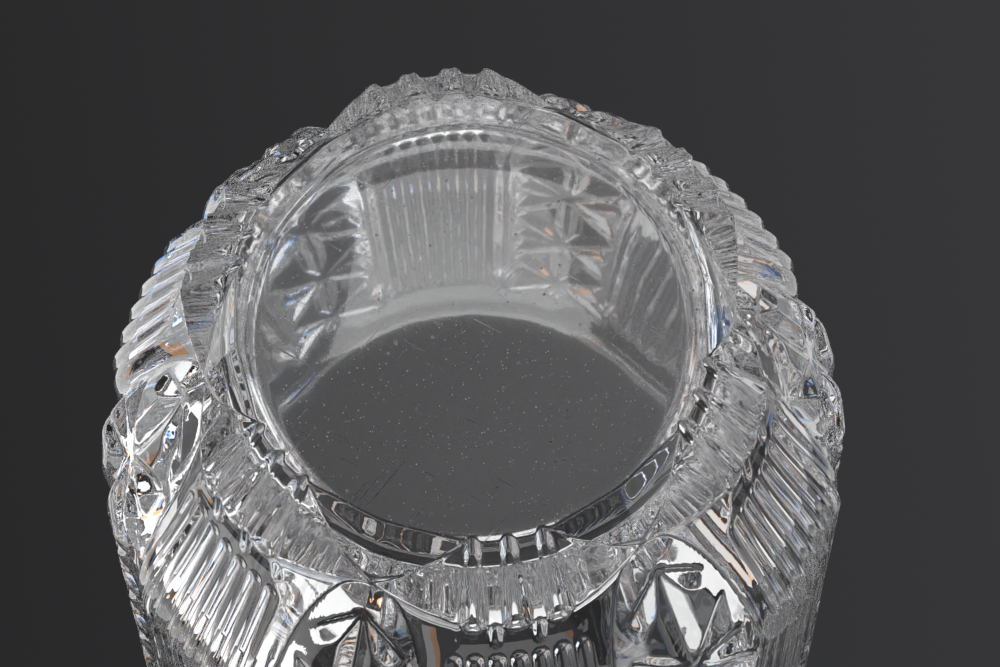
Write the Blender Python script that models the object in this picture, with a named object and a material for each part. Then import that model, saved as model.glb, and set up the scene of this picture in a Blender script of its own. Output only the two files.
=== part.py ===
"""A cut crystal vase: one piece of clear glass, turned hollow and then cut on a wheel, standing on Z = 0."""

import math

import bmesh
import bpy
import numpy as np

# The turned blank, in metres.
height = 0.155
base_radius = 0.040
base_bevel = 0.0006
heel_radius = 0.0505  # the shoulder slopes out from the base to the heel
heel_height = 0.0118
body_radius = 0.0675  # the body is this wide from body_height up
body_height = 0.062
rim_radius = 0.070
base_thickness = 0.0105
floor_radius = 0.0382
floor_fillet = 0.0032
floor_dish = 0.0035  # how far the middle of the floor lies under its edge
body_wall = 0.0095
rim_wall = 0.0095
rim_round = 0.0016  # radius of the flat rim's two edges
plain_rim = 0.019  # height of the uncut band under the rim

# The cuts. Angles are in degrees and are measured round the vase.
groups = 6  # flute groups, with a star panel between each two
first_group = -90.0
channel_pitch = 8.3
channels = 3  # rounded channels on the shoulder, for each group
channel_width = 0.0048
channel_depth = 0.0018
hollow_width = 0.0072  # a shallow hollow lies beside the channels, on each side of a group
hollow_depth = 0.0015
mitre_start = 10.3  # where a mitre cut leaves the base, beside its group
mitre_depth = 0.0030
crossing_depth = 0.0060  # two mitre cuts cross on the heel, midway between two groups
mitre_spread = 1.8  # half of a mitre cut's width for each unit of its depth
facet_spread = 4.2  # the same for the wide facet between a mitre cut and the edge of the base
mitre_bend = 0.009  # the height over which a mitre cut turns upright past a crossing
column_angle = 16.0  # half of a fluted column's angle, out to the mitre cuts beside it
column_flutes = 7
flute_depth = 0.0011
flute_fade = 0.008  # height over which the flutes run out at the top
flute_start = 0.0085  # height of the plain band between the heel and the column's flutes
panel_stars = 5
panel_start = -0.006  # height from the heel to the foot of the first star
star_depth = 0.0022
star_spread = 1.4  # half of a star cut's width for each unit of its depth
run_out = 0.0002  # depth left where a cut ends
scoop_end = 1.25  # a channel runs out at this share of the heel's height

# How finely the blank is turned.
turn_steps = 40
heel_blend = 0.006  # the reach over which a cut follows the shoulder round the heel

side_names = {-1: "left", 1: "right"}
group_step = 360.0 / groups
body_top = height - plain_rim
flutes_from = heel_height + flute_start
panel_from = heel_height + panel_start


def outer_radius(z):
    """Radius of the uncut outside: a sloping shoulder, a swelling body and a nearly straight wall."""
    swell = np.clip((z - heel_height) / (body_height - heel_height), 0, 1)
    swelling = heel_radius + (body_radius - heel_radius) * swell**2 * (3 - 2 * swell)
    shoulder = base_radius + (heel_radius - base_radius) * z / heel_height
    rise = np.clip((z - body_height) / (height - body_height), 0, 1)
    return np.where(z < heel_height, shoulder, swelling + (rim_radius - body_radius) * rise)


def inner_radius(z):
    """Radius of the hollow at height z. The wall is thickest beside the floor and thins up to the rim."""
    corner_height = base_thickness + floor_fillet
    corner_wall = outer_radius(corner_height) - floor_radius
    levels = (corner_height, max(body_height, corner_height + floor_fillet), height)
    return outer_radius(z) - np.interp(z, levels, (corner_wall, body_wall, rim_wall))


def outward(z):
    """Radial and vertical parts of the outside's normal at each height, blended round the heel."""
    radial = outer_radius(z + heel_blend) - outer_radius(z - heel_blend)
    rise = 2 * heel_blend
    length = np.hypot(radial, rise)
    return rise / length, -radial / length


def arc(centre, radius, start, end, steps):
    """Points of an arc in the (radius, height) plane, between two angles in degrees."""
    angles = np.radians(np.linspace(start, end, steps + 1))
    return [(centre[0] + radius * math.cos(a), centre[1] + radius * math.sin(a)) for a in angles]


def blank_outline():
    """The turned outline, from the middle of the floor over the rim and down to the middle of the base."""
    floor_edge = floor_radius - floor_fillet
    outline = [(floor_edge * x, base_thickness + floor_dish * (x**2 - 1)) for x in (0, 0.5)]
    outline += arc((floor_edge, base_thickness + floor_fillet), floor_fillet, -90, 0, 2)
    rim_under = height - rim_round
    wall_from = base_thickness + floor_fillet
    for z in np.linspace(wall_from, body_height, 5)[1:]:
        outline.append((float(inner_radius(z)), float(z)))
    outline += arc((float(inner_radius(rim_under)) + rim_round, rim_under), rim_round, 180, 90, 2)
    outline += arc((rim_radius - rim_round, rim_under), rim_round, 90, 0, 2)
    outline.append((float(outer_radius(body_top)), body_top))
    for z in np.linspace(body_height, heel_height, 7):
        outline.append((float(outer_radius(z)), float(z)))
    outline.append((float(outer_radius(base_bevel)), base_bevel))
    outline.append((base_radius - base_bevel, 0.0))
    outline.append((0.0, 0.0))
    return outline


def crystal():
    """Clear, colourless lead glass."""
    material = bpy.data.materials.new("crystal")
    material.use_nodes = True
    shader = material.node_tree.nodes["Principled BSDF"]
    shader.inputs["Base Color"].default_value = (0.92, 0.94, 0.95, 1.0)
    shader.inputs["Roughness"].default_value = 0.02
    shader.inputs["Metallic"].default_value = 0.0
    shader.inputs["IOR"].default_value = 1.54
    shader.inputs["Transmission Weight"].default_value = 1.0
    material.diffuse_color = (0.75, 0.80, 0.84, 1.0)
    return material


def turned_blank():
    """The uncut vase, turned from its outline by a Screw modifier."""
    points = [(r, 0.0, z) for r, z in blank_outline()]
    edges = [(i, i + 1) for i in range(len(points) - 1)]
    mesh = bpy.data.meshes.new("vase_body")
    mesh.from_pydata(points, edges, [])
    mesh.materials.append(crystal())
    vase = bpy.data.objects.new("vase_body", mesh)
    bpy.context.scene.collection.objects.link(vase)
    screw = vase.modifiers.new("turn", "SCREW")
    screw.steps = turn_steps
    screw.render_steps = turn_steps
    screw.use_merge_vertices = True
    screw.merge_threshold = 0.00001
    screw.use_smooth_shade = True
    return vase


# A cut's section, across it and into the glass, as shares of its half width and its depth.
# Each section starts and ends outside the glass, so that the cut opens cleanly.
v_section = ((-2.0, 1.0), (0.0, -1.0), (2.0, 1.0))
round_arc = tuple((math.cos(a), math.sin(a)) for a in np.radians(np.linspace(-180, 0, 5)))
round_section = ((-1.0, 1.0), *round_arc, (1.0, 1.0))


def add_cutter(cutters, name, section, angle, z, depth, half_width):
    """Add a closed solid that cuts along a route on the outside, given as arrays."""
    turned = np.radians(angle)
    around = np.stack([np.cos(turned), np.sin(turned), np.zeros_like(turned)], axis=1)
    up = np.array([0.0, 0.0, 1.0])
    radial, vertical = outward(z)
    out = around * radial[:, None] + up * vertical[:, None]
    surface = around * outer_radius(z)[:, None] + up * z[:, None]
    across = np.cross(np.gradient(surface, axis=0), out)
    across /= np.linalg.norm(across, axis=1)[:, None]
    sideways = across * half_width[:, None]
    inwards = out * depth[:, None]
    points = np.stack([surface + sideways * u + inwards * v for u, v in section], axis=1)
    count, sides = points.shape[:2]
    faces = [tuple(range(sides)), tuple(range((count - 1) * sides, count * sides))]
    for i in range(count - 1):
        for j in range(sides):
            k = (j + 1) % sides
            faces.append((i * sides + j, i * sides + k, (i + 1) * sides + k, (i + 1) * sides + j))
    mesh = bpy.data.meshes.new(name)
    mesh.from_pydata(points.reshape(-1, 3).tolist(), [], faces)
    work = bmesh.new()
    work.from_mesh(mesh)
    bmesh.ops.recalc_face_normals(work, faces=work.faces)
    work.to_mesh(mesh)
    work.free()
    wheel = bpy.data.objects.new(name, mesh)
    wheel.hide_render = True
    wheel.display_type = "WIRE"
    cutters.objects.link(wheel)


def add_channels(cutters, group, centre):
    """The rounded channels down the shoulder, which notch the edge of the base into scallops."""
    z = np.linspace(-0.15, 1.05, 4) * heel_height
    growth = np.clip(z / heel_height, 0, 1)
    depth = channel_depth * (0.45 + 0.55 * growth)
    half_width = channel_width / 2 * (0.55 + 0.45 * growth)
    z = np.append(z, heel_height * scoop_end)
    depth = np.append(depth, run_out)
    half_width = np.append(half_width, channel_width * 0.3)
    for i in range(channels):
        angle = centre + channel_pitch * (i - (channels - 1) / 2)
        name = f"channel_{group}_{i}"
        add_cutter(cutters, name, round_section, np.full(len(z), angle), z, depth, half_width)


def add_hollows(cutters, group, centre):
    """The shallow hollow on each side of a group, which widens from the base down to the heel."""
    z = heel_height * np.array([0.1, 0.4, 0.7, 1.0, scoop_end])
    growth = np.clip(z / heel_height, 0, 1)
    depth = hollow_depth * growth**1.5
    depth[-1] = run_out
    half_width = hollow_width / 2 * (0.1 + 0.9 * growth)
    for side in (-1, 1):
        angle = np.full(len(z), centre + side * channel_pitch * (channels + 1) / 2)
        name = f"hollow_{group}_{side_names[side]}"
        add_cutter(cutters, name, round_section, angle, z, depth, half_width)


def mitre_angle(z):
    """Angle of a mitre cut from its group: straight over the shoulder, then bending upright."""
    crossing = group_step / 2
    shoulder = mitre_start + (crossing - mitre_start) * z / heel_height
    bend = 1 - np.exp(-np.maximum(z - heel_height, 0) / mitre_bend)
    return np.where(z < heel_height, shoulder, crossing + (crossing - column_angle) * bend)


def add_mitres(cutters, group, centre):
    """The two mitre cuts that leave the base beside a group, cross the next ones and run on up the body."""
    low = np.linspace(-0.15, 1.0, 4) * heel_height
    bend = heel_height + mitre_bend * np.array([0.4, 0.9, 1.6, 2.6, 4.5])
    z = np.concatenate([low, bend, np.linspace(body_height, body_top, 3)])
    climb = np.clip(z / heel_height, 0.08, 1)
    past = np.maximum(z - heel_height, 0) / mitre_bend
    easing = mitre_depth + (crossing_depth - mitre_depth) * np.exp(-(past**2))
    depth = np.where(z < heel_height, crossing_depth * climb, easing)
    depth[-1] = run_out
    for side in (-1, 1):
        angle = centre + side * mitre_angle(z)
        name = f"mitre_{group}_{side_names[side]}"
        add_cutter(cutters, name, v_section, angle, z, depth, depth * mitre_spread)


def add_facets(cutters, group, centre):
    """The wide facets from the edge of the base to the mitre cuts: each is one wall of a lopsided V."""
    z = np.linspace(0.02, 1.0, 3) * heel_height
    depth = crossing_depth * z / heel_height
    for side in (-1, 1):
        section = ((-side, 1.0), (0.0, -1.0), (2.0 * side, 1.0))
        angle = centre + side * mitre_angle(z)
        name = f"facet_{group}_{side_names[side]}"
        add_cutter(cutters, name, section, angle, z, depth, depth * facet_spread)


def add_column_flutes(cutters, group, centre):
    """The fine flutes of a column, side by side from the heel's plain band to the rim's."""
    pitch = 2 * column_angle / (column_flutes + 1)
    z = np.append(np.linspace(flutes_from, body_height, 5), (body_top - flute_fade, body_top))
    depth = np.full(len(z), flute_depth)
    depth[[0, -1]] = run_out
    for i in range(column_flutes):
        angle = np.full(len(z), centre + pitch * (i - (column_flutes - 1) / 2))
        half_width = outer_radius(z) * math.radians(pitch / 2) * 0.9
        add_cutter(cutters, f"flute_{group}_{i}", v_section, angle, z, depth, half_width)


def add_panel(cutters, group, centre):
    """A panel of eight-pointed stars: three cuts across for each star, and one up the middle."""
    reach = group_step / 2 - column_angle
    star_height = (body_top - panel_from) / panel_stars
    across = np.linspace(-1, 1, 5)
    fade = star_depth * (1.05 - across**4)
    for i in range(panel_stars):
        middle = panel_from + star_height * (i + 0.5)
        for name, slope in (("rising", 1), ("level", 0), ("falling", -1)):
            z = middle + across * slope * star_height / 2
            angle = centre + across * reach
            cut = f"{name}_{group}_{i}"
            add_cutter(cutters, cut, v_section, angle, z, fade, fade * star_spread)
    z = np.linspace(panel_from, body_top, 9)
    spine = np.full(len(z), star_depth)
    spine[[0, -1]] = run_out
    angle = np.full(len(z), centre)
    add_cutter(cutters, f"spine_{group}", v_section, angle, z, spine, spine * star_spread)


def main():
    for old in list(bpy.data.objects):
        bpy.data.objects.remove(old)
    vase = turned_blank()
    cutters = bpy.data.collections.new("cutters")
    bpy.context.scene.collection.children.link(cutters)
    for group in range(groups):
        centre = first_group + group * group_step
        add_channels(cutters, group, centre)
        add_hollows(cutters, group, centre)
        add_mitres(cutters, group, centre)
        add_facets(cutters, group, centre)
        add_column_flutes(cutters, group, centre)
        add_panel(cutters, group, centre + group_step / 2)
    cut = vase.modifiers.new("cut", "BOOLEAN")
    cut.operation = "DIFFERENCE"
    cut.operand_type = "COLLECTION"
    cut.collection = cutters


main()
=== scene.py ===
import math

import bpy
import numpy as np
from mathutils import Matrix, Vector


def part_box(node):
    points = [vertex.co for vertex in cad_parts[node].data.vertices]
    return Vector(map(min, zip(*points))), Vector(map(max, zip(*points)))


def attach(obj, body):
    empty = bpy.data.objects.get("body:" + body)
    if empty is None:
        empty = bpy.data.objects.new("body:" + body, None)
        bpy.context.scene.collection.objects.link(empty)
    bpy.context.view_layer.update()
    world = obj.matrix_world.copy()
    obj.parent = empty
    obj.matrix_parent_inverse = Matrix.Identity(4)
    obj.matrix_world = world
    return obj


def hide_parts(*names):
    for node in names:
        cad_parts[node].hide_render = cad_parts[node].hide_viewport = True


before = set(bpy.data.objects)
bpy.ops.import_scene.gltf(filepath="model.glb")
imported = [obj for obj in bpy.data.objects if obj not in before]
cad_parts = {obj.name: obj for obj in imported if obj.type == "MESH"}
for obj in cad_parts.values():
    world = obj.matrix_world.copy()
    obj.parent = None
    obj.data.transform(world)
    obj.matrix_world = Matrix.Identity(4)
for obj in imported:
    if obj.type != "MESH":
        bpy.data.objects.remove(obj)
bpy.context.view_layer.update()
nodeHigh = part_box("vase_body")[1]
print("frame:", len(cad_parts), "node,", round(nodeHigh.z * 1000, 1), "mm high")

# the turned shape, in metres; the height and the rim's width come from the frame
vase = {
    "height": nodeHigh.z,
    "rimRadius": nodeHigh.x,
    "baseRadius": 0.040,
    "heelRadius": 0.0505,
    "heelHeight": 0.0118,
    "bodyRadius": 0.0675,
    "bodyHeight": 0.062,
    "baseThickness": 0.0105,
    "floorRadius": 0.0382,
    "floorFillet": 0.0032,
    "floorDish": 0.0035,
    "bodyWall": 0.0095,
    "rimWall": 0.0095,
    "rimRound": 0.0016,
    "plainRim": 0.019,
    "heelBlend": 0.006,
    "ripple": 0.00012,  # slow waves that hot working leaves inside
    "rippleTop": 0.012,  # they stop this far under the rim, having faded over the fade's height
    "rippleFade": 0.02,
    "rippleRadii": (0.02, 0.03),  # and fade out towards the floor's middle between these radii
    "rippleReach": 0.0005,
}

# the wheel's cuts: angles in degrees from the middle of the nearest flute group
cuts = {
    "groups": 6,
    "firstGroup": -90.0,
    "channelPitch": 8.3,
    "channelWidth": 0.0048,
    "channelDepth": 0.0018,
    "widthAtBase": 0.55,  # a channel's width at the base, as a share of its full width
    "depthAtBase": 0.45,
    "cutFloor": -2.0,  # rounded cuts are followed this far outside the glass, in depths
    "scoopEnd": 0.25,  # how far past the heel a channel runs out, as a share of the heel's height
    "hollowWidth": 0.0072,
    "hollowDepth": 0.0015,
    "hollowAtBase": 0.1,
    "hollowGrowth": 1.5,
    "mitreStart": 10.3,
    "mitreDepth": 0.0030,
    "mitreFade": 0.02,
    "crossingDepth": 0.0060,
    "crossingLeast": 0.08,  # the share of the crossing's depth that a mitre cut has at the base
    "mitreSpread": 1.8,
    "facetStart": 0.0387,
    "facetLean": 0.53,
    "facetTurn": 7.0,
    "facetEnd": 0.9,
    "facetFade": 0.02,
    "mitreBend": 0.009,
    "columnAngle": 16.0,
    "flutePitch": 4.0,
    "fluteDepth": 0.0011,
    "fluteStart": 0.0085,
    "fluteFade": 0.006,
    "fluteLift": 0.0002,
    "postDepth": 0.0006,
    "postWidth": 0.0022,
    "postStraight": 0.7,  # shares of a post's half height: its straight part and its rounded tip
    "postTip": 1 / 3,
    "panelStars": 5,
    "panelStart": -0.006,
    "starDepth": 0.0022,
    "starSpread": 1.4,
    "starFade": (1.05, 1.02, 4),  # depth across a panel: 1.05 - side^4, with side held under 1.02
    "spineFade": 0.006,
    "softness": 0.00012,  # the radius that acid polishing leaves on every edge
}

# how finely the surface is worked out
grid = {
    "fineColumns": 720,
    "shoulderRows": 32,
    "shoulderPower": 0.95,  # under 1, so that the rows are closest together at the heel
    "starRows": 19,
    "fineTop": 0.041,
    "wallRows": 18,
    "wallPower": 1.5,  # over 1, so that the inner wall's rows are closest low down, where it curves
    "floorShares": (0.85, 0.65, 0.45, 0.25, 0.08),
    "baseRings": ((0.7, 0.0), (0.981, 0.0), (0.986, 0.0), (0.9955, 0.00004)),  # share of the outline, height
    "footLevel": 0.00025,  # where the shoulder's cuts end above the base
    "footReach": (-0.012, 0.008),
    "halvings": 24,
}

halfStep = 180.0 / cuts["groups"]
bodyTop = vase["height"] - vase["plainRim"]
flutesFrom = vase["heelHeight"] + cuts["fluteStart"]
panelFrom = vase["heelHeight"] + cuts["panelStart"]
panelReach = halfStep - cuts["columnAngle"]
starHeight = (bodyTop - panelFrom) / cuts["panelStars"]


def ease(t):
    # 3t^2 - 2t^3, held between 0 and 1
    t = np.clip(t, 0, 1)
    return t * t * (3 - 2 * t)


def outerRadius(z):
    # a sloping shoulder up to the heel, an eased swelling up to the body, then a nearly straight wall
    heel, body = vase["heelHeight"], vase["bodyHeight"]
    shoulder = vase["baseRadius"] + (vase["heelRadius"] - vase["baseRadius"]) * z / heel
    widening = vase["bodyRadius"] - vase["heelRadius"]
    swelling = vase["heelRadius"] + widening * ease((z - heel) / (body - heel))
    rise = np.clip((z - body) / (vase["height"] - body), 0, 1)
    upper = swelling + (vase["rimRadius"] - vase["bodyRadius"]) * rise
    return np.where(z < heel, shoulder, upper)


def innerRadius(z):
    # the outer radius less a wall that is thickest at the floor's edge and thins up to the rim
    corner = vase["baseThickness"] + vase["floorFillet"]
    cornerWall = float(outerRadius(np.array(corner))) - vase["floorRadius"]
    heights = (corner, vase["bodyHeight"], vase["height"])
    wall = np.interp(z, heights, (cornerWall, vase["bodyWall"], vase["rimWall"]))
    return outerRadius(z) - wall


def outward(z):
    # the outside's normal as (radial, vertical): square to the run over a short reach,
    # so that it turns slowly round the heel
    reach = vase["heelBlend"]
    run = outerRadius(z + reach) - outerRadius(z - reach)
    length = np.hypot(run, 2 * reach)
    return 2 * reach / length, -run / length


def softMax(depths):
    # k log(1 + sum of e^(d/k)): the deepest cut wins, and edges where cuts meet are rounded over about k
    k = cuts["softness"]
    top = np.maximum(np.max(depths, axis=0), 0)
    total = np.exp(-top / k) + sum(np.exp((d - top) / k) for d in depths)
    return top + k * np.log(total)


def mitreAngle(z):
    # straight over the shoulder to the crossing, then an exponential bend up beside the next group
    heel = vase["heelHeight"]
    shoulder = cuts["mitreStart"] + (halfStep - cuts["mitreStart"]) * z / heel
    bend = 1 - np.exp(-np.maximum(z - heel, 0) / cuts["mitreBend"])
    return np.where(z < heel, shoulder, halfStep + (halfStep - cuts["columnAngle"]) * bend)


def rounded(across, along):
    # a rounded cut's share of its full depth: 1 - across^2 - along^2
    return np.maximum(1 - across**2 - along**2, cuts["cutFloor"])


def cutDepth(angle, z):
    # depth of the finished surface under the turned one, with all angles folded onto half of one group
    turn = np.mod(angle - cuts["firstGroup"] + halfStep, 2 * halfStep) - halfStep
    x = np.abs(turn)
    radius = outerRadius(z)
    arc = radius * math.radians(1)  # metres of arc for each degree
    heel = vase["heelHeight"]
    below = np.full_like(x, -0.01)
    depths = []

    # rounded channels: parabolas across, deeper and wider down to the heel, ending in a round scoop
    growth = np.clip(z / heel, 0, 1)
    ending = np.maximum(z / heel - 1.0, 0) / cuts["scoopEnd"]
    depth = cuts["channelDepth"] * (cuts["depthAtBase"] + (1 - cuts["depthAtBase"]) * growth)
    half = cuts["channelWidth"] / 2 * (cuts["widthAtBase"] + (1 - cuts["widthAtBase"]) * growth)
    for middle in (0.0, cuts["channelPitch"]):
        across = (x - middle) * arc / half
        depths.append(depth * rounded(across, ending))

    # a hollow beside each group that starts as nothing at the base: depth and width grow down to the heel
    half = cuts["hollowWidth"] / 2 * (cuts["hollowAtBase"] + (1 - cuts["hollowAtBase"]) * growth)
    across = (x - 2 * cuts["channelPitch"]) * arc / half
    depths.append(cuts["hollowDepth"] * growth ** cuts["hollowGrowth"] * rounded(across, ending))

    # short upright grooves under the ridges, which leave a row of flat windows round the column's foot
    rise = (z - heel - cuts["fluteStart"] / 2) / (cuts["fluteStart"] / 2)
    tip = np.maximum(np.abs(rise) - cuts["postStraight"], 0) / cuts["postTip"]
    for middle in (0.5, 1.5):
        across = (x - middle * cuts["channelPitch"]) * arc / (cuts["postWidth"] / 2)
        depths.append(cuts["postDepth"] * rounded(across, tip))

    # two flat facets above each crossing: they take in the edge of the base and end at the mitre cuts
    radial, vertical = outward(z)
    short = np.maximum(mitreAngle(z) - x, 0) * arc / cuts["facetEnd"]
    for middle in (halfStep - cuts["facetTurn"], halfStep + cuts["facetTurn"]):
        cosine = np.cos(np.radians(middle - x))
        ahead = radius * cosine - cuts["facetStart"] - cuts["facetLean"] * z
        facet = ahead / (radial * cosine - cuts["facetLean"] * vertical)
        depths.append(facet - short - cuts["facetFade"] * np.maximum(z / heel - 1.0, 0))

    # mitre cuts: a V across, measured square to the cut's own run
    step = 1e-5
    slope = (mitreAngle(z + step) - mitreAngle(z - step)) / (2 * step) * arc
    run = np.hypot(1.0, (outerRadius(z + step) - outerRadius(z - step)) / (2 * step))
    square = 1 / np.hypot(1.0, slope / run)
    climb = np.clip(z / heel, cuts["crossingLeast"], 1)
    past = np.maximum(z - heel, 0) / cuts["mitreBend"]
    easing = cuts["mitreDepth"] + (cuts["crossingDepth"] - cuts["mitreDepth"]) * np.exp(-(past**2))
    deep = np.where(z < heel, cuts["crossingDepth"] * climb, easing)
    deep = deep * ease((bodyTop - z) / cuts["mitreFade"])
    for line in (mitreAngle(z), 2 * halfStep - mitreAngle(z)):
        off = np.abs(x - line) * arc * square
        depths.append(deep - off / cuts["mitreSpread"])

    # column flutes: parabolas side by side that meet in sharp ridges
    pitch = cuts["flutePitch"]
    share = x / pitch - np.round(x / pitch)
    ends = ease((z - flutesFrom) / cuts["fluteFade"]) * ease((bodyTop - z) / cuts["fluteFade"])
    flute = cuts["fluteDepth"] * (1 - 4 * share**2) * ends - cuts["fluteLift"] * (1 - ends)
    depths.append(np.where(x < cuts["columnAngle"] - pitch / 2, flute, below))

    # stars: four V cuts through each star's middle, fading out at the panel's sides
    side = (halfStep - x) / panelReach
    cell = (z - panelFrom) / starHeight
    rise = np.abs(cell - np.floor(np.clip(cell, 0, cuts["panelStars"] - 1e-6)) - 0.5) * starHeight
    over, widest, power = cuts["starFade"]
    fade = cuts["starDepth"] * (over - np.clip(side, 0, widest) ** power)
    inside = (cell > 0) & (cell < cuts["panelStars"])
    reach = panelReach * arc
    lean = (starHeight / 2) / np.hypot(starHeight / 2, reach)
    slanting = np.abs(rise / (starHeight / 2) - side) * reach * lean
    for off in (slanting, rise):
        depths.append(np.where(inside, fade - off / cuts["starSpread"], below))
    spineEnds = ease((z - panelFrom) / cuts["spineFade"]) * ease((bodyTop - z) / cuts["spineFade"])
    spine = cuts["starDepth"] * spineEnds - side * reach / cuts["starSpread"]
    depths.append(np.where(inside, spine, below))
    return softMax(depths)


def outsidePoint(angle, z):
    # a point of the turned outside, moved in along the normal by the depth of the cuts
    depth = cutDepth(angle, z)
    radial, vertical = outward(z)
    return outerRadius(z) - depth * radial, z - depth * vertical


def footLine(angle, level):
    # by halving: the height on the uncut shoulder whose cut surface lies at the given level
    low, high = (np.full_like(angle, reach) for reach in grid["footReach"])
    for _ in range(grid["halvings"]):
        middle = (low + high) / 2
        under = outsidePoint(angle, middle)[1] < level
        low, high = np.where(under, middle, low), np.where(under, high, middle)
    return (low + high) / 2


def bands():
    # rings of the outside: shares of the shoulder's rise, then heights in step with the stars, finer low down
    rowStep = starHeight / grid["starRows"] / 2
    heelStep = int((vase["heelHeight"] - panelFrom) / rowStep) + 1
    fineSteps = 2 * int((grid["fineTop"] - panelFrom) / (2 * rowStep))
    shoulder = np.linspace(0, 1, grid["shoulderRows"] + 1) ** grid["shoulderPower"]
    fine = panelFrom + rowStep * np.arange(heelStep, fineSteps + 1)
    allSteps = 2 * cuts["panelStars"] * grid["starRows"]
    coarse = panelFrom + rowStep * np.arange(fineSteps + 2, allSteps + 1, 2)
    return shoulder, fine, coarse


def turned(angle, radius, height):
    # rings of (radius, height) carried round the axis
    turn = np.radians(angle)
    return np.stack([radius * np.cos(turn), radius * np.sin(turn), height + 0 * turn], axis=-1)


def insideOutline():
    # from the cut wall's top: a plain band, a flat lip with two rounded edges, the inner wall, a fillet and a
    # dished floor, each as rows of (radius, height)
    lip = vase["rimRound"]
    top = vase["height"] - lip
    bandHeights = np.linspace(bodyTop, top, 5)[1:]
    band = np.stack([outerRadius(bandHeights), bandHeights], axis=1)
    inner = float(innerRadius(np.array(top))) + lip
    turn = np.radians(np.linspace(0, 90, 6)[1:])
    outerEdge = np.stack([vase["rimRadius"] - lip + lip * np.cos(turn), top + lip * np.sin(turn)], axis=1)
    innerEdge = np.stack([inner - lip * np.sin(turn), top + lip * np.cos(turn)], axis=1)
    flat = np.array([[(outerEdge[-1, 0] + inner) / 2, vase["height"]], [inner, vase["height"]]])
    lipArc = np.concatenate([outerEdge, flat, innerEdge])
    corner = vase["baseThickness"] + vase["floorFillet"]
    share = np.linspace(1, 0, grid["wallRows"] + 1)[1:]
    wallHeights = corner + (top - corner) * share ** grid["wallPower"]
    wall = np.stack([innerRadius(wallHeights), wallHeights], axis=1)
    turn = np.radians(np.linspace(0, -90, 9)[1:])
    edge = vase["floorRadius"] - vase["floorFillet"]
    fillet = np.stack([np.cos(turn), np.sin(turn)], axis=1) * vase["floorFillet"] + (edge, corner)
    share = np.array(grid["floorShares"])
    floor = np.stack([edge * share, vase["baseThickness"] + vase["floorDish"] * (share**2 - 1)], axis=1)
    return np.concatenate([band, lipArc, wall, fillet, floor])


def ripple(angle, radius, height):
    # two slow sine waves round the inner wall, which fade out towards the rim and the floor
    least, most = vase["rippleRadii"]
    below = ease((vase["height"] - vase["rippleTop"] - height) / vase["rippleFade"])
    fade = below * ease((radius - least) / (most - least))
    onWall = radius < innerRadius(height) + vase["rippleReach"]
    wave = np.sin(np.radians(angle * 5 + 40)) + 0.6 * np.sin(np.radians(angle * 11) + height * 90)
    return vase["ripple"] * wave * fade * onWall


def quadSplit(lower, upper, middles):
    # each cell is split along the diagonal that lies nearer the true surface at the cell's middle
    a, b = lower, np.roll(lower, -1, axis=0)
    c, d = np.roll(upper, -1, axis=0), upper
    one = np.linalg.norm((a + c) / 2 - middles, axis=1)
    other = np.linalg.norm((b + d) / 2 - middles, axis=1)
    return one <= other


def ringFaces(lowerStart, upperStart, count, alongFirst):
    # two triangles for each cell between two rings of the same count
    j = np.arange(count)
    k = (j + 1) % count
    a, b, c, d = lowerStart + j, lowerStart + k, upperStart + k, upperStart + j
    first = np.where(alongFirst[:, None], np.stack([a, b, c], 1), np.stack([a, b, d], 1))
    second = np.where(alongFirst[:, None], np.stack([a, c, d], 1), np.stack([b, c, d], 1))
    return np.concatenate([first, second])


def halvingFaces(lowerStart, upperStart, upperCount):
    # three triangles join two cells of a fine ring to one cell of the coarse ring above it
    i = np.arange(upperCount)
    f0, f1, f2 = lowerStart + 2 * i, lowerStart + 2 * i + 1, lowerStart + (2 * i + 2) % (2 * upperCount)
    c0, c1 = upperStart + i, upperStart + (i + 1) % upperCount
    return np.concatenate([np.stack(t, 1) for t in ((f0, f1, c0), (f1, c1, c0), (f1, f2, c1))])


def fanFaces(ringStart, count, centre, outwardUp):
    # a disc's middle: one triangle from each side of the ring to the centre
    j = np.arange(count)
    k = (j + 1) % count
    pair = (ringStart + j, ringStart + k) if outwardUp else (ringStart + k, ringStart + j)
    return np.stack([pair[0], pair[1], np.full(count, centre)], 1)


def meshObject(name, points, faces, material):
    mesh = bpy.data.meshes.new(name)
    mesh.vertices.add(len(points))
    mesh.vertices.foreach_set("co", points.astype(np.float32).ravel())
    mesh.loops.add(faces.size)
    mesh.loops.foreach_set("vertex_index", faces.astype(np.int32).ravel())
    mesh.polygons.add(len(faces))
    mesh.polygons.foreach_set("loop_start", np.arange(0, faces.size, 3, dtype=np.int32))
    mesh.update(calc_edges=True)
    mesh.validate()
    mesh.shade_smooth()
    mesh.materials.append(material)
    obj = bpy.data.objects.new(name, mesh)
    bpy.context.scene.collection.objects.link(obj)
    return obj


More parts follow.
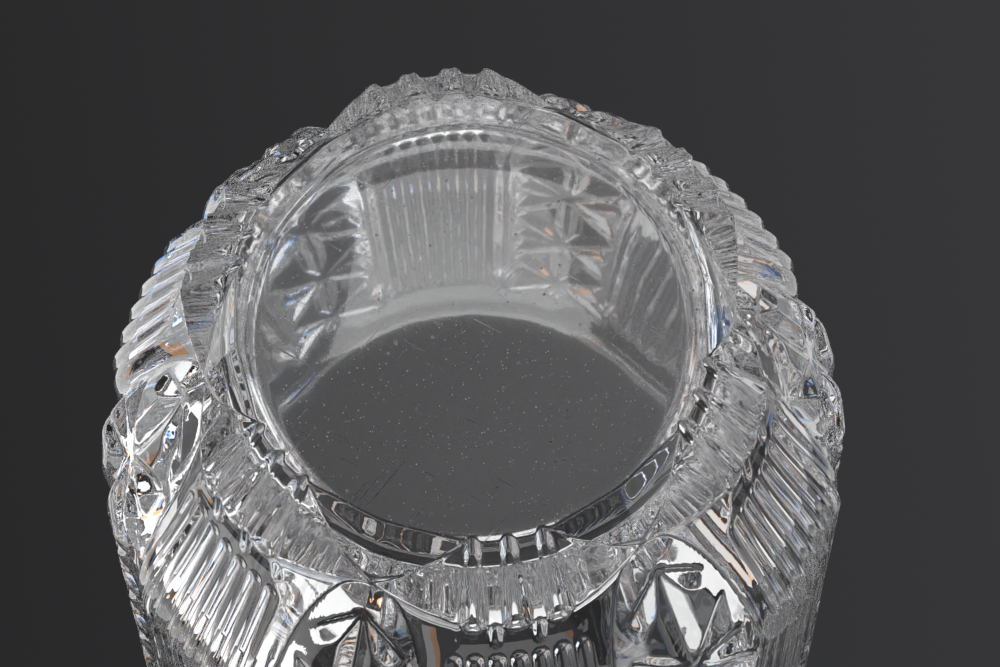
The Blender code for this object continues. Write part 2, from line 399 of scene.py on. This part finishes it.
def cutVase(material):
    fineCount = grid["fineColumns"]
    coarseCount = fineCount // 2
    fineAngle = np.arange(fineCount) * 360 / fineCount
    coarseAngle = np.arange(coarseCount) * 360 / coarseCount
    shoulder, fineHeights, coarseHeights = bands()
    points, faces, count = [], [], 0

    def addRing(ring):
        nonlocal count
        points.append(ring)
        count += len(ring)
        return count - len(ring)

    def split(lower, upper, angle, lowerZ, upperZ):
        half = 180 / len(angle)
        middle = turned(angle + half, *outsidePoint(angle + half, (lowerZ + upperZ) / 2))
        return quadSplit(lower, upper, middle)

    # the base: a flat polished disc whose outline is where the cuts meet it, with a tiny rounded edge
    foot = footLine(fineAngle, grid["footLevel"])
    edge = turned(fineAngle, *outsidePoint(fineAngle, foot))
    centre = addRing(np.array([[0.0, 0.0, 0.0]]))
    last = None
    for share, height in grid["baseRings"]:
        ring = edge * share
        ring[:, 2] = height
        start = addRing(ring)
        if last is None:
            faces.append(fanFaces(start, fineCount, centre, False))
        else:
            faces.append(ringFaces(last, start, fineCount, np.ones(fineCount, bool)))
        last = start

    # the outside, ring by ring
    start = addRing(edge)
    faces.append(ringFaces(last, start, fineCount, np.ones(fineCount, bool)))
    last, lastRing, lastZ = start, edge, foot
    heights = [foot + (vase["heelHeight"] - foot) * share for share in shoulder[1:]]
    heights += [np.full(fineCount, z) for z in fineHeights]
    for z in heights:
        ring = turned(fineAngle, *outsidePoint(fineAngle, z))
        start = addRing(ring)
        faces.append(ringFaces(last, start, fineCount, split(lastRing, ring, fineAngle, lastZ, z)))
        last, lastRing, lastZ = start, ring, z
    for i, level in enumerate(coarseHeights):
        z = np.full(coarseCount, level)
        ring = turned(coarseAngle, *outsidePoint(coarseAngle, z))
        start = addRing(ring)
        if i == 0:
            faces.append(halvingFaces(last, start, coarseCount))
        else:
            faces.append(ringFaces(last, start, coarseCount, split(lastRing, ring, coarseAngle, lastZ, z)))
        last, lastRing, lastZ = start, ring, z

    # the rim and the hollow; slow ripples run round the inner wall and fade out at the floor and the rim
    for radius, height in insideOutline():
        start = addRing(turned(coarseAngle, radius + ripple(coarseAngle, radius, height), height))
        faces.append(ringFaces(last, start, coarseCount, np.ones(coarseCount, bool)))
        last = start
    centre = addRing(np.array([[0.0, 0.0, vase["baseThickness"] - vase["floorDish"]]]))
    faces.append(fanFaces(last, coarseCount, centre, True))
    points, faces = np.concatenate(points), np.concatenate(faces)
    print("cut vase:", len(points), "points,", len(faces), "triangles")
    return meshObject("cut_vase", points, faces, material)


# the crystal's look: lengths in metres, and each height is how far that mark stands off the polished surface
crystal = {
    "ior": 1.54,
    "tint": (0.985, 0.99, 0.992, 1),
    "dustTint": (0.72, 0.70, 0.67, 1),
    "stainTint": (0.93, 0.74, 0.48, 1),
    "polish": 0.003,  # roughness of the cut and turned surfaces
    "groundBase": 0.045,  # roughness of the base, which was ground flat and then polished
    "baseHeights": (0.0001, 0.0004),  # what belongs to the base fades out between these heights
    "waveScale": 170.0,
    "waveHeight": 0.000016,
    "wheelScale": 2600.0,
    "wheelHeight": 0.0000012,
    "brushLines": 55.0,
    "brushRadii": (0.0345, 0.036),  # the marks fade in between these radii
    "brushRoughness": 0.10,
    "brushHeight": 0.000004,
    "scratches": ((0.9, 1900.0), (2.3, 1500.0)),  # for each direction: its angle and scale
    "scratchHeight": 0.000006,
    "scratchRoughness": 0.25,
    "filmScale": 7500.0,
    "filmRoughness": 0.13,
    "dust": ((620.0, 0.35), (1612.0, 0.5)),  # coarse and fine: the scale, and the share of cells with a speck
    "dustHeight": 0.00005,
    "dustRoughness": 0.45,
    "stainFrom": 0.9,  # the specks drawn above this are stained
}


def addNode(tree, kind, **sockets):
    # a node with its inputs set from numbers or linked from other nodes' outputs
    made = tree.nodes.new(kind)
    for name, value in sockets.items():
        socket = made.inputs[int(name[1:])] if name[0] == "i" and name[1:].isdigit() else made.inputs[name]
        if isinstance(value, bpy.types.NodeSocket):
            tree.links.new(value, socket)
        else:
            socket.default_value = value
    return made


def calculate(tree, operation, first, second=0.0, third=0.0):
    made = addNode(tree, "ShaderNodeMath", i0=first, i1=second, i2=third)
    made.operation = operation
    return made.outputs[0]


def between(tree, value, low, high, fromValue=0.0, toValue=1.0):
    # eased step: fromValue at low, toValue at high
    made = addNode(tree, "ShaderNodeMapRange", Value=value)
    made.interpolation_type = "SMOOTHSTEP"
    for name, number in (("From Min", low), ("From Max", high), ("To Min", fromValue), ("To Max", toValue)):
        made.inputs[name].default_value = number
    return made.outputs["Result"]


def groupTree(name, inputs, outputs):
    tree = bpy.data.node_groups.new(name, "ShaderNodeTree")
    for label, kind in inputs:
        tree.interface.new_socket(label, in_out="INPUT", socket_type=kind)
    for label, kind in outputs:
        tree.interface.new_socket(label, in_out="OUTPUT", socket_type=kind)
    return tree, tree.nodes.new("NodeGroupInput"), tree.nodes.new("NodeGroupOutput")


def specksGroup():
    # scattered specks: round dots where the distance to a cell's point is under a size drawn for that cell
    inputs = (("Vector", "NodeSocketVector"), ("Scale", "NodeSocketFloat"), ("Share", "NodeSocketFloat"))
    tree, start, end = groupTree("specks", inputs, (("Mask", "NodeSocketFloat"), ("Pick", "NodeSocketFloat")))
    place, scale = start.outputs["Vector"], start.outputs["Scale"]
    cells = addNode(tree, "ShaderNodeTexVoronoi", Vector=place, Scale=scale)
    drawn = addNode(tree, "ShaderNodeSeparateColor", Color=cells.outputs["Color"])
    chosen = calculate(tree, "LESS_THAN", drawn.outputs["Red"], start.outputs["Share"])
    size = calculate(tree, "MULTIPLY_ADD", drawn.outputs["Green"], 0.16, 0.05)
    ratio = calculate(tree, "DIVIDE", cells.outputs["Distance"], size)
    dot = between(tree, ratio, 0.6, 1.1, 1.0, 0.0)
    tree.links.new(calculate(tree, "MULTIPLY", dot, chosen), end.inputs["Mask"])
    tree.links.new(drawn.outputs["Blue"], end.inputs["Pick"])
    return tree


def marksGroup():
    # fine straight scratches: noise drawn out along one direction, kept where it and slower noise are high
    inputs = (("Vector", "NodeSocketVector"), ("Turn", "NodeSocketFloat"), ("Scale", "NodeSocketFloat"))
    tree, start, end = groupTree("scratches", inputs, (("Mask", "NodeSocketFloat"),))
    place, scale = start.outputs["Vector"], start.outputs["Scale"]
    swung = addNode(tree, "ShaderNodeVectorRotate", Vector=place, Angle=start.outputs["Turn"])
    drawn = addNode(tree, "ShaderNodeVectorMath", i0=swung.outputs["Vector"], i1=(1.0, 0.03, 0.03))
    drawn.operation = "MULTIPLY"
    lines = addNode(tree, "ShaderNodeTexNoise", Vector=drawn.outputs[0], Scale=scale, Detail=1.0)
    slower = calculate(tree, "MULTIPLY", scale, 0.06)
    patches = addNode(tree, "ShaderNodeTexNoise", Vector=place, Scale=slower, Detail=1.0)
    kept = between(tree, lines.outputs["Fac"], 0.66, 0.74)
    where = between(tree, patches.outputs["Fac"], 0.5, 0.62)
    tree.links.new(calculate(tree, "MULTIPLY", kept, where), end.inputs["Mask"])
    return tree


specks = specksGroup()
scratches = marksGroup()


def placeGroup(tree, group, **sockets):
    made = tree.nodes.new("ShaderNodeGroup")
    made.node_tree = group
    for name, value in sockets.items():
        if isinstance(value, bpy.types.NodeSocket):
            tree.links.new(value, made.inputs[name])
        else:
            made.inputs[name].default_value = value
    return made


def crystalMaterial():
    material = bpy.data.materials.new("crystal")
    material.use_nodes = True
    tree = material.node_tree
    shader = tree.nodes["Principled BSDF"]
    shader.inputs["IOR"].default_value = crystal["ior"]
    shader.inputs["Transmission Weight"].default_value = 1.0
    place = tree.nodes.new("ShaderNodeTexCoord").outputs["Object"]
    split = addNode(tree, "ShaderNodeSeparateXYZ", Vector=place)
    flat = addNode(tree, "ShaderNodeVectorMath", i0=place, i1=(1.0, 1.0, 0.0))
    flat.operation = "MULTIPLY"
    length = addNode(tree, "ShaderNodeVectorMath", i0=flat.outputs[0])
    length.operation = "LENGTH"
    radius = length.outputs["Value"]
    onBase = between(tree, split.outputs["Z"], *crystal["baseHeights"], 1.0, 0.0)

    # brush marks round the base's edge: noise over the unit direction and, slowly, over the radius
    direction = addNode(tree, "ShaderNodeVectorMath", i0=flat.outputs[0])
    direction.operation = "NORMALIZE"
    depth = addNode(tree, "ShaderNodeCombineXYZ", Z=calculate(tree, "MULTIPLY", radius, 2.0))
    around = addNode(tree, "ShaderNodeVectorMath", i0=direction.outputs[0], i1=depth.outputs[0])
    around.operation = "ADD"
    lines = crystal["brushLines"]
    brush = addNode(tree, "ShaderNodeTexNoise", Vector=around.outputs[0], Scale=lines, Detail=2.0)
    edge = between(tree, radius, *crystal["brushRadii"])
    brushed = calculate(tree, "MULTIPLY", calculate(tree, "MULTIPLY", brush.outputs["Fac"], edge), onBase)

    # slow waves left by polishing, and the wheel's finer marks drawn out along the body
    waves = addNode(tree, "ShaderNodeTexNoise", Vector=place, Scale=crystal["waveScale"], Detail=1.5)
    drawn = addNode(tree, "ShaderNodeVectorMath", i0=place, i1=(1.0, 1.0, 0.05))
    drawn.operation = "MULTIPLY"
    fineness = crystal["wheelScale"]
    wheel = addNode(tree, "ShaderNodeTexNoise", Vector=drawn.outputs[0], Scale=fineness, Detail=1.0)

    # scratches two ways over the base, dust and a faint stain
    first, second = (
        placeGroup(tree, scratches, Vector=place, Turn=angle, Scale=scale).outputs["Mask"]
        for angle, scale in crystal["scratches"]
    )
    scratched = calculate(tree, "MULTIPLY", calculate(tree, "MAXIMUM", first, second), onBase)
    dust, fine = (
        placeGroup(tree, specks, Vector=place, Scale=scale, Share=share) for scale, share in crystal["dust"]
    )
    eitherDust = calculate(tree, "MAXIMUM", dust.outputs["Mask"], fine.outputs["Mask"])
    dusty = calculate(tree, "MULTIPLY", eitherDust, onBase)
    grain = addNode(tree, "ShaderNodeTexNoise", Vector=place, Scale=crystal["filmScale"], Detail=1.0)
    film = calculate(tree, "MULTIPLY", between(tree, grain.outputs["Fac"], 0.5, 0.6), onBase)
    picked = calculate(tree, "GREATER_THAN", dust.outputs["Pick"], crystal["stainFrom"])
    stained = calculate(tree, "MULTIPLY", dusty, picked)

    height = calculate(tree, "MULTIPLY", waves.outputs["Fac"], crystal["waveHeight"])
    for mask, size in (
        (wheel.outputs["Fac"], crystal["wheelHeight"]),
        (brushed, crystal["brushHeight"]),
        (scratched, crystal["scratchHeight"]),
        (dusty, crystal["dustHeight"]),
    ):
        height = calculate(tree, "MULTIPLY_ADD", mask, size, height)
    bump = addNode(tree, "ShaderNodeBump", Height=height, Strength=1.0, Distance=1.0)
    tree.links.new(bump.outputs["Normal"], shader.inputs["Normal"])

    rough = calculate(tree, "MULTIPLY_ADD", onBase, crystal["groundBase"], crystal["polish"])
    for mask, size in (
        (brushed, crystal["brushRoughness"]),
        (scratched, crystal["scratchRoughness"]),
        (dusty, crystal["dustRoughness"]),
        (film, crystal["filmRoughness"]),
    ):
        rough = calculate(tree, "MULTIPLY_ADD", mask, size, rough)
    tree.links.new(rough, shader.inputs["Roughness"])

    tint = addNode(tree, "ShaderNodeMixRGB", Fac=dusty, Color1=crystal["tint"], Color2=crystal["dustTint"])
    warm = crystal["stainTint"]
    stain = addNode(tree, "ShaderNodeMixRGB", Fac=stained, Color1=tint.outputs[0], Color2=warm)
    tree.links.new(stain.outputs[0], shader.inputs["Base Color"])
    return material


body = cutVase(crystalMaterial())
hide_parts("vase_body")
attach(body, "root")

# the floor: pale from above and clear from below, so that the base can be seen; a mirror image in the base
# looks through the floor's middle, down to the pale lower studio
floorSettings = {
    "radius": 3.0,
    "middle": 0.0384,
    "gap": 0.0004,
    "colour": (0.70, 0.70, 0.69, 1),
    "paler": (0.74, 0.74, 0.73, 1),
    "speck": (0.60, 0.59, 0.57, 1),
    "cloudScale": 3.0,
    "specks": (260.0, 0.04),  # scale, and the share of cells with a speck
    "grainScale": 900.0,
    "grainHeight": 0.00006,
    "roughness": (0.58, 0.2),  # least, and how much the grain adds
    "sides": 96,
}


def floorMaterial(name, clearToMirrors):
    # a matt board: slow clouds and a few specks vary its colour, and fine grain its roughness and height
    material = bpy.data.materials.new(name)
    material.use_nodes = True
    tree = material.node_tree
    shader, output = tree.nodes["Principled BSDF"], tree.nodes["Material Output"]
    place = tree.nodes.new("ShaderNodeTexCoord").outputs["Object"]
    clouds = addNode(tree, "ShaderNodeTexNoise", Vector=place, Scale=floorSettings["cloudScale"], Detail=3.0)
    grain = addNode(tree, "ShaderNodeTexNoise", Vector=place, Scale=floorSettings["grainScale"], Detail=2.0)
    cloudy = between(tree, clouds.outputs["Fac"], 0.3, 0.7)
    shade = addNode(
        tree, "ShaderNodeMixRGB", Fac=cloudy, Color1=floorSettings["colour"], Color2=floorSettings["paler"]
    )
    scale, share = floorSettings["specks"]
    dots = placeGroup(tree, specks, Vector=place, Scale=scale, Share=share)
    speck = floorSettings["speck"]
    dotted = addNode(
        tree, "ShaderNodeMixRGB", Fac=dots.outputs["Mask"], Color1=shade.outputs[0], Color2=speck
    )
    tree.links.new(dotted.outputs[0], shader.inputs["Base Color"])
    least, added = floorSettings["roughness"]
    rough = calculate(tree, "MULTIPLY_ADD", grain.outputs["Fac"], added, least)
    tree.links.new(rough, shader.inputs["Roughness"])
    height = calculate(tree, "MULTIPLY", grain.outputs["Fac"], floorSettings["grainHeight"])
    bump = addNode(tree, "ShaderNodeBump", Height=height, Strength=1.0, Distance=1.0)
    tree.links.new(bump.outputs["Normal"], shader.inputs["Normal"])
    side = tree.nodes.new("ShaderNodeNewGeometry")
    clear = tree.nodes.new("ShaderNodeBsdfTransparent")
    choose = tree.nodes.new("ShaderNodeMixShader")
    hidden = side.outputs["Backfacing"]
    if clearToMirrors:
        # a ray straight from a mirror image is glossy but isn't a transmission ray
        ray = tree.nodes.new("ShaderNodeLightPath").outputs
        mirrored = calculate(tree, "SUBTRACT", ray["Is Glossy Ray"], ray["Is Transmission Ray"])
        hidden = calculate(tree, "MAXIMUM", hidden, mirrored)
    tree.links.new(hidden, choose.inputs["Fac"])
    tree.links.new(shader.outputs["BSDF"], choose.inputs[1])
    tree.links.new(clear.outputs["BSDF"], choose.inputs[2])
    tree.links.new(choose.outputs["Shader"], output.inputs["Surface"])
    return material


def addFloor():
    # a round floor whose middle, under the vase, has a material of its own
    turn = np.linspace(0, 2 * np.pi, floorSettings["sides"], endpoint=False)
    ring = np.stack([np.cos(turn), np.sin(turn), 0 * turn], axis=1)
    centre = np.zeros((1, 3))
    points = np.concatenate([ring * floorSettings["middle"], ring * floorSettings["radius"], centre])
    points[:, 2] = -floorSettings["gap"]
    j = np.arange(len(turn))
    k = (j + 1) % len(turn)
    around = np.stack([j, j + len(turn), k + len(turn), k], axis=1)
    middle = np.stack([j, k, np.full(len(turn), 2 * len(turn))], axis=1)
    mesh = bpy.data.meshes.new("floor")
    mesh.from_pydata(points.tolist(), [], around.tolist() + middle.tolist())
    mesh.materials.append(floorMaterial("pale_floor", False))
    mesh.materials.append(floorMaterial("pale_floor_middle", True))
    mesh.polygons.foreach_set("material_index", np.repeat((0, 1), (len(around), len(middle))))
    floor = bpy.data.objects.new("floor", mesh)
    bpy.context.scene.collection.objects.link(floor)
    print("floor:", len(floor.data.polygons), "faces")


addFloor()

# the studio: a dark ceiling, paler walls, and soft panels round the vase
studio = {
    "ceiling": (0.034, 0.034, 0.036),
    "walls": (0.056, 0.056, 0.058),
    "under": (1.40, 1.40, 1.43),
    "fall": (-0.2, 0.25, 1.1, 0.45),  # X from and to, and the brightness there
    "ceilingFrom": 0.75,  # heights of the direction looked in: 0 is level and 1 straight up
    "wallsBetween": (0.02, 0.35),
    "aim": (0, 0, 0.05),
    "panels": {
        "leftPanel": {"place": (-0.9, -0.5, 0.35), "size": (0.7, 0.9), "power": 1.5},
        "rightPanel": {"place": (0.9, -0.2, 0.45), "size": (0.6, 0.9), "power": 2.0},
        "topPanel": {"place": (0.01, -0.35, 1.2), "size": (0.6, 0.6), "power": 1.2},
        "frontPanel": {"place": (0.01, -1.1, 0.7), "size": (0.6, 0.6), "power": 0.95},
        "highRightPanel": {"place": (0.7, 0.5, 0.9), "size": (0.6, 0.6), "power": 1.35},
        "highLeftPanel": {"place": (-0.7, 0.5, 0.9), "size": (0.6, 0.6), "power": 0.6},
    },
    "strips": {"warm": (-1, (1.0, 0.50, 0.22)), "cool": (1, (0.25, 0.50, 1.0))},
    "stripWidth": 0.07,  # as a share of its panel's width
    "stripGain": 1.3,
    "plainPanels": ("topPanel",),  # these have no coloured strips
}


def addPanel(name, place, turn, size, power, colour):
    light = bpy.data.lights.new(name, "AREA")
    light.shape = "RECTANGLE"
    light.size, light.size_y = size
    light.energy, light.color = power, colour
    lamp = bpy.data.objects.new(name, light)
    lamp.location, lamp.rotation_euler = place, turn.to_euler()
    bpy.context.scene.collection.objects.link(lamp)


def addStudio():
    world = bpy.data.worlds.new("studio")
    bpy.context.scene.world = world
    world.use_nodes = True
    nodes, links = world.node_tree.nodes, world.node_tree.links
    background = nodes["Background"]
    direction = nodes.new("ShaderNodeTexCoord")
    split = nodes.new("ShaderNodeSeparateXYZ")
    ramp = nodes.new("ShaderNodeValToRGB")
    links.new(direction.outputs["Generated"], split.inputs["Vector"])
    links.new(split.outputs["Z"], ramp.inputs["Fac"])
    links.new(ramp.outputs["Color"], background.inputs["Color"])
    across = addNode(world.node_tree, "ShaderNodeMapRange", Value=split.outputs["X"])
    for name, number in zip(("From Min", "From Max", "To Min", "To Max"), studio["fall"]):
        across.inputs[name].default_value = number
    links.new(across.outputs["Result"], background.inputs["Strength"])
    stops = ramp.color_ramp.elements
    stops[1].position, stops[1].color = studio["ceilingFrom"], (*studio["ceiling"], 1)
    stops[0].position, stops[0].color = 0.0, (*studio["under"], 1)
    for position in studio["wallsBetween"]:
        stops.new(position).color = (*studio["walls"], 1)
    for name, panel in studio["panels"].items():
        width, height = panel["size"]
        place = Vector(panel["place"])
        turn = (Vector(studio["aim"]) - place).to_track_quat("-Z", "Y")
        addPanel(name, place, turn, (width, height), panel["power"], (1, 1, 1))
        if name in studio["plainPanels"]:
            continue

        # a warm and a cool strip at its sides give the coloured edges that lead crystal draws by dispersion
        strip = width * studio["stripWidth"]
        power = panel["power"] * studio["stripWidth"] * studio["stripGain"]
        for kind, (side, colour) in studio["strips"].items():
            aside = turn @ Vector((side * (width + strip) / 2, 0, 0))
            addPanel(f"{name}_{kind}", place + aside, turn, (strip, height), power, colour)


addStudio()
print("studio:", len(studio["panels"]), "panels")

# the camera looks up at the base from below, a little off the vase's axis
camera = {"lens": 120.0, "distance": 0.549, "tilt": 21.4, "turn": 278.7, "aside": (-0.00476, -0.00355)}


def addCamera():
    turn, tilt = math.radians(camera["turn"]), math.radians(camera["tilt"])
    aside = Vector((math.cos(turn), math.sin(turn), 0))
    forward = Vector((0, 0, math.cos(tilt))) - aside * math.sin(tilt)
    down = aside * math.cos(tilt) + Vector((0, 0, math.sin(tilt)))
    right = down.cross(forward)
    shiftRight, shiftDown = camera["aside"]
    place = -(right * shiftRight + down * shiftDown + forward * camera["distance"])
    data = bpy.data.cameras.new("camera")
    data.lens = camera["lens"]
    data.clip_start, data.clip_end = 0.01, 20
    view = bpy.data.objects.new("camera", data)
    view.matrix_world = Matrix.Translation(place) @ Matrix((right, -down, -forward)).transposed().to_4x4()
    bpy.context.scene.collection.objects.link(view)
    bpy.context.scene.camera = view


addCamera()
print("camera:", camera["lens"], "mm lens")

# light has to pass many surfaces of thick cut glass
bounces = {"max_bounces": 24, "transmission_bounces": 24, "glossy_bounces": 12, "transparent_max_bounces": 12}
scene = bpy.context.scene
scene.view_settings.view_transform = "Standard"
for name, count in bounces.items():
    setattr(scene.cycles, name, count)
